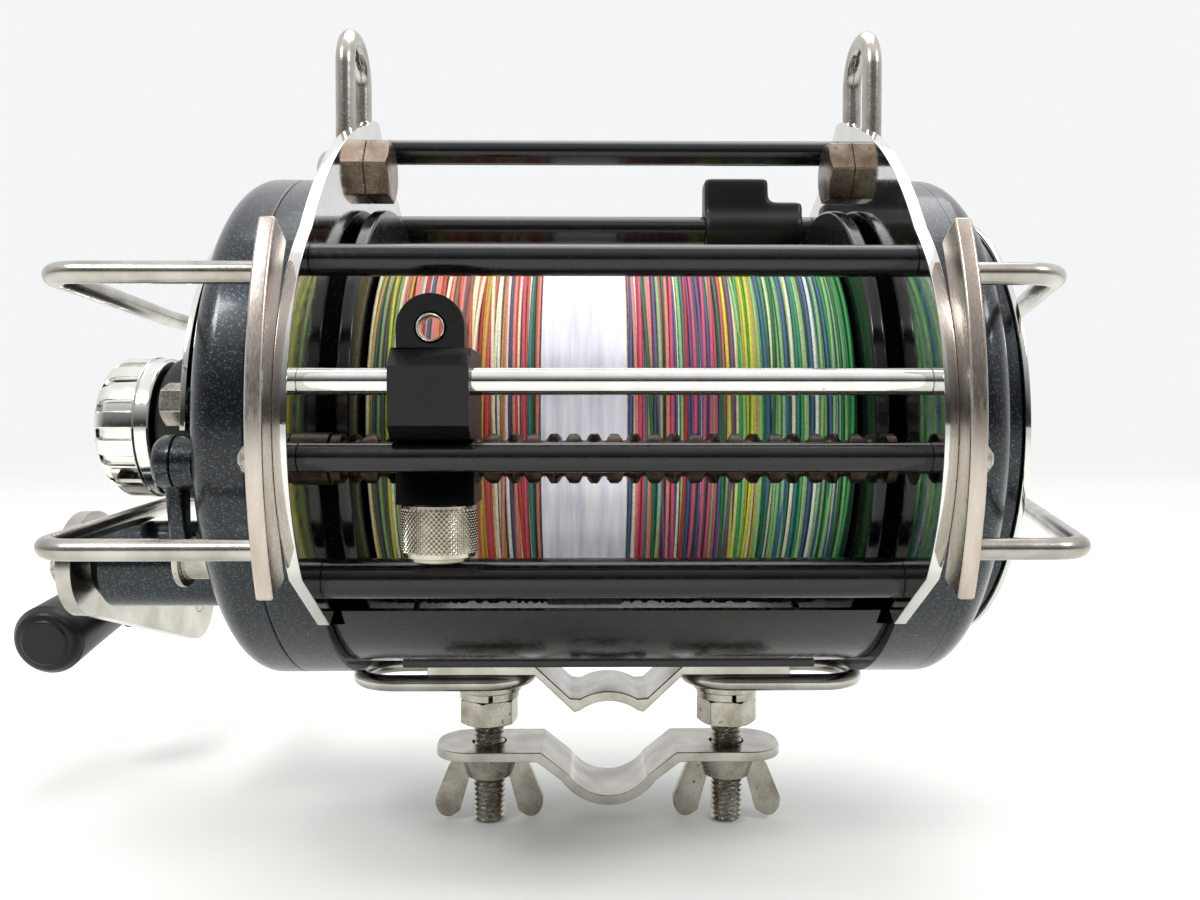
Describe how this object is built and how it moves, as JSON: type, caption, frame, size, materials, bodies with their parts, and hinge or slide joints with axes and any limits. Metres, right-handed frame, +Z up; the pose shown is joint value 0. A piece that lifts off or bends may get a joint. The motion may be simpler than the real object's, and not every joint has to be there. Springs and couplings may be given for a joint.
{
  "type": "trolling reel",
  "caption": "Large level-wind trolling reel with wound line, crank and T grip, wire side guards and a rod clamp under its foot.",
  "frame": {"origin": "centre of the rod seat in the clamp under the foot, on the spool's mid plane", "axes": "+Z up to the spool, +X along the spool away from the handle, +Y along the rod to the rear"},
  "size_m": [0.2671, 0.1736, 0.1949],
  "materials": {
    "polished_stainless": "mirror polished stainless sheet",
    "stainless_wire": "satin drawn stainless wire and bar",
    "stainless_hardware": "worn stainless hardware",
    "housing_enamel": "dark blue-grey metallic enamel",
    "frame_enamel": "gloss black enamel",
    "moulded_black": "moulded black nylon",
    "boot_rubber": "matt black rubber",
    "chrome_plate": "bright chrome plate",
    "bronze": "oiled bronze",
    "gear_steel": "ground steel",
    "braided_line": "multicoloured braided line",
    "white_tape": "white film tape",
    "drag_fibre": "woven drag washer fibre"
  },
  "bodies": {
    "frame": {"guard_plates": "polished_stainless", "handle_side_ring": "housing_enamel", "far_side_ring": "housing_enamel", "handle_side_cover": "housing_enamel", "far_side_cover": "housing_enamel", "far_side_step": "housing_enamel", "far_side_trim": "polished_stainless", "bearing_cap": "housing_enamel", "guide_rod": "stainless_wire", "thin_crossbars": "frame_enamel", "thick_crossbars": "frame_enamel", "bar_rivets": "stainless_hardware", "spool_cradle": "frame_enamel", "spool_bearings": "gear_steel", "worm_bushings": "bronze", "idler_pin": "gear_steel", "handle_side_disc": "polished_stainless", "disc_spacers": "housing_enamel", "disc_nuts": "stainless_hardware", "rubber_boot": "boot_rubber", "handle_shaft_tube": "housing_enamel", "handle_shaft_bearings": "bronze", "flanged_bushing": "stainless_hardware", "foot_plate": "stainless_wire", "clamp_studs": "stainless_hardware", "stud_washers": "stainless_hardware", "stud_nuts": "stainless_hardware", "foot_loops": "stainless_wire", "carrier_bars": "stainless_wire", "handle_side_hoops": "stainless_wire", "far_side_hoops": "stainless_wire", "harness_loops": "stainless_wire", "harness_bolts": "stainless_hardware", "harness_nuts": "stainless_hardware"},
    "spool": {"spool": "frame_enamel", "spool_shaft": "gear_steel", "line_pack": "braided_line", "tape_band": "white_tape", "spool_pinion": "gear_steel", "level_wind_drive_gear": "gear_steel", "drag_discs": "drag_fibre"},
    "drag_knob": {"drag_knob": "chrome_plate"},
    "clutch_lever": {"clutch_lever": "housing_enamel"},
    "worm": {"worm_shaft": "bronze", "worm_gear": "bronze"},
    "idler": {"idler_gear": "bronze"},
    "carriage": {"line_guide": "moulded_black", "guide_ring": "chrome_plate", "pawl": "gear_steel", "pawl_cap": "chrome_plate"},
    "crank": {"main_gear": "gear_steel", "handle_shaft": "gear_steel", "crank_arm": "stainless_wire", "crank_nut": "stainless_hardware", "grip_post": "stainless_hardware"},
    "grip": {"handle_grip": "moulded_black"},
    "clamp": {"clamp_plate": "stainless_wire"},
    "handle_side_wing_nut": {"handle_side_wing_nut": "stainless_hardware"},
    "far_side_wing_nut": {"far_side_wing_nut": "stainless_hardware"},
    "thumb_lever": {"thumb_lever": "moulded_black"}
  },
  "joints": [
    {"name": "spool_spin", "type": "hinge", "parent": "frame", "child": "spool", "pos_m": [0, 0, 0.0782], "axis": [1, 0, 0], "continuous": true},
    {"name": "crank_turn", "type": "hinge", "parent": "frame", "child": "crank", "pos_m": [-0.1, -0.012, 0.0456], "axis": [1, 0, 0], "continuous": true},
    {"name": "idler_spin", "type": "hinge", "parent": "frame", "child": "idler", "pos_m": [0.063, -0.03522, 0.07479], "axis": [1, 0, 0], "continuous": true},
    {"name": "worm_spin", "type": "hinge", "parent": "frame", "child": "worm", "pos_m": [0, -0.062, 0.0722], "axis": [1, 0, 0], "continuous": true},
    {"name": "grip_spin", "type": "hinge", "parent": "crank", "child": "grip", "pos_m": [-0.15, 0.05112, 0.0263], "axis": [1, 0, 0], "continuous": true},
    {"name": "drag_knob_turn", "type": "hinge", "parent": "frame", "child": "drag_knob", "pos_m": [-0.115, 0, 0.0782], "axis": [1, 0, 0], "range_deg": [-180, 180]},
    {"name": "carriage_slide", "type": "slide", "parent": "frame", "child": "carriage", "axis": [1, 0, 0], "range_m": [-0.0095, 0.0765]},
    {"name": "thumb_lever_tilt", "type": "hinge", "parent": "frame", "child": "thumb_lever", "pos_m": [0.04, 0.028, 0.1327], "axis": [1, 0, 0], "range_deg": [-35, 20]},
    {"name": "clutch_lever_turn", "type": "hinge", "parent": "frame", "child": "clutch_lever", "pos_m": [-0.088, -0.049, 0.071], "axis": [1, 0, 0], "range_deg": [-30, 35]},
    {"name": "clamp_slide", "type": "slide", "parent": "frame", "child": "clamp", "axis": [0, 0, -1], "range_m": [0, 0.011]},
    {"name": "handle_side_wing_nut_turn", "type": "hinge", "parent": "clamp", "child": "handle_side_wing_nut", "pos_m": [-0.03, 0, -0.008], "axis": [0, 0, 1], "continuous": true},
    {"name": "far_side_wing_nut_turn", "type": "hinge", "parent": "clamp", "child": "far_side_wing_nut", "pos_m": [0.03, 0, -0.008], "axis": [0, 0, 1], "continuous": true}
  ],
  "couplings": [
    {"joint": "crank_turn", "follows": "spool_spin", "ratio": -0.83333},
    {"joint": "idler_spin", "follows": "spool_spin", "ratio": -0.775},
    {"joint": "worm_spin", "follows": "spool_spin", "ratio": 2.2143}
  ]
}
